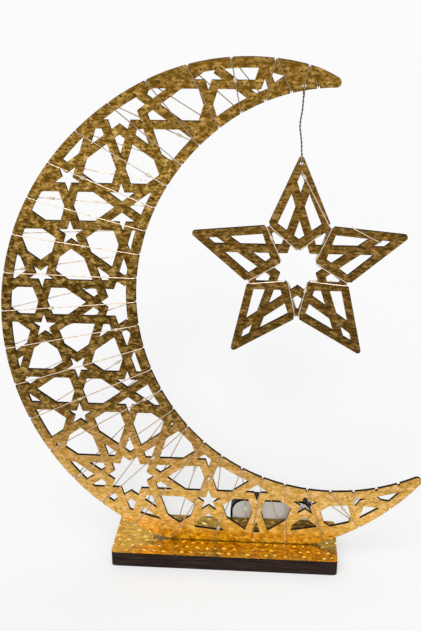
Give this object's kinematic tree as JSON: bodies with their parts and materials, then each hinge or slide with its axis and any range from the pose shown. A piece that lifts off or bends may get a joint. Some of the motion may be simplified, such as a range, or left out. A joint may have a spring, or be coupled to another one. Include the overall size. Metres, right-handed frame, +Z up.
{
  "type": "crescent table ornament",
  "caption": "Fretwork crescent on a slotted base board, with a star hanging in its bay, wound with a string of lights fed by a small battery box.",
  "frame": {"origin": "middle of the base board's underside, which is the plane it stands on", "axes": "+Z up, the gold front faces -Y, +X to the right as seen from the front, towards the open side of the bay"},
  "size_m": [0.242, 0.0538, 0.2954],
  "materials": {
    "gold_base": "dense fibreboard with embossed gold foil on top and a dark streaked edge",
    "gold_board": "thin fibreboard with embossed gold foil in front and a dark burnt cut edge",
    "light_wire": "bare enamelled copper wire",
    "light_drop": "clear drop over a warm light",
    "hanger_wire": "twisted wire",
    "box_dark": "fine grain",
    "box_white": "smooth white",
    "foam_tape": "white foam tape",
    "cell_can": "bright plated can",
    "contact_metal": "plated spring strip",
    "knob_dark": "moulded"
  },
  "bodies": {
    "stand": {"base_board": "gold_base", "crescent_board": "gold_board", "crescent_winding": "light_wire", "crescent_leds": "light_drop", "battery_body": "box_dark", "front_plate": "box_white", "mounting_tape": "foam_tape", "left_cell": "cell_can", "right_cell": "cell_can", "cell_link": "contact_metal", "left_terminal": "contact_metal", "right_terminal": "contact_metal", "switch_contact": "contact_metal"},
    "hanger_top": {"hanger_eye": "hanger_wire"},
    "hanger": {"hanger_wire": "hanger_wire"},
    "star": {"star_board": "gold_board", "star_winding": "light_wire", "star_leds": "light_drop"},
    "switch": {"switch_knob": "knob_dark"},
    "cover": {"battery_cover": "box_dark"}
  },
  "joints": [
    {"name": "hanger_swing", "type": "hinge", "parent": "stand", "child": "hanger_top", "pos_m": [0.0386, -0.00395, 0.28105], "axis": [0, 1, 0], "range_deg": [-10, 10]},
    {"name": "star_turn", "type": "hinge", "parent": "hanger_top", "child": "hanger", "pos_m": [0.0386, -0.00395, 0.262], "axis": [0, 0, 1], "range_deg": [-60, 60], "stiffness_Nm_per_rad": 0.0001},
    {"name": "star_tilt", "type": "hinge", "parent": "hanger", "child": "star", "pos_m": [0.0386, -0.00395, 0.24379], "axis": [1, 0, 0], "range_deg": [-25, 25]},
    {"name": "switch_slide", "type": "slide", "parent": "stand", "child": "switch", "axis": [1, 0, 0], "range_m": [0, 0.0025]},
    {"name": "cover_slide", "type": "slide", "parent": "stand", "child": "cover", "axis": [1, 0, 0], "range_m": [0, 0.012]}
  ]
}
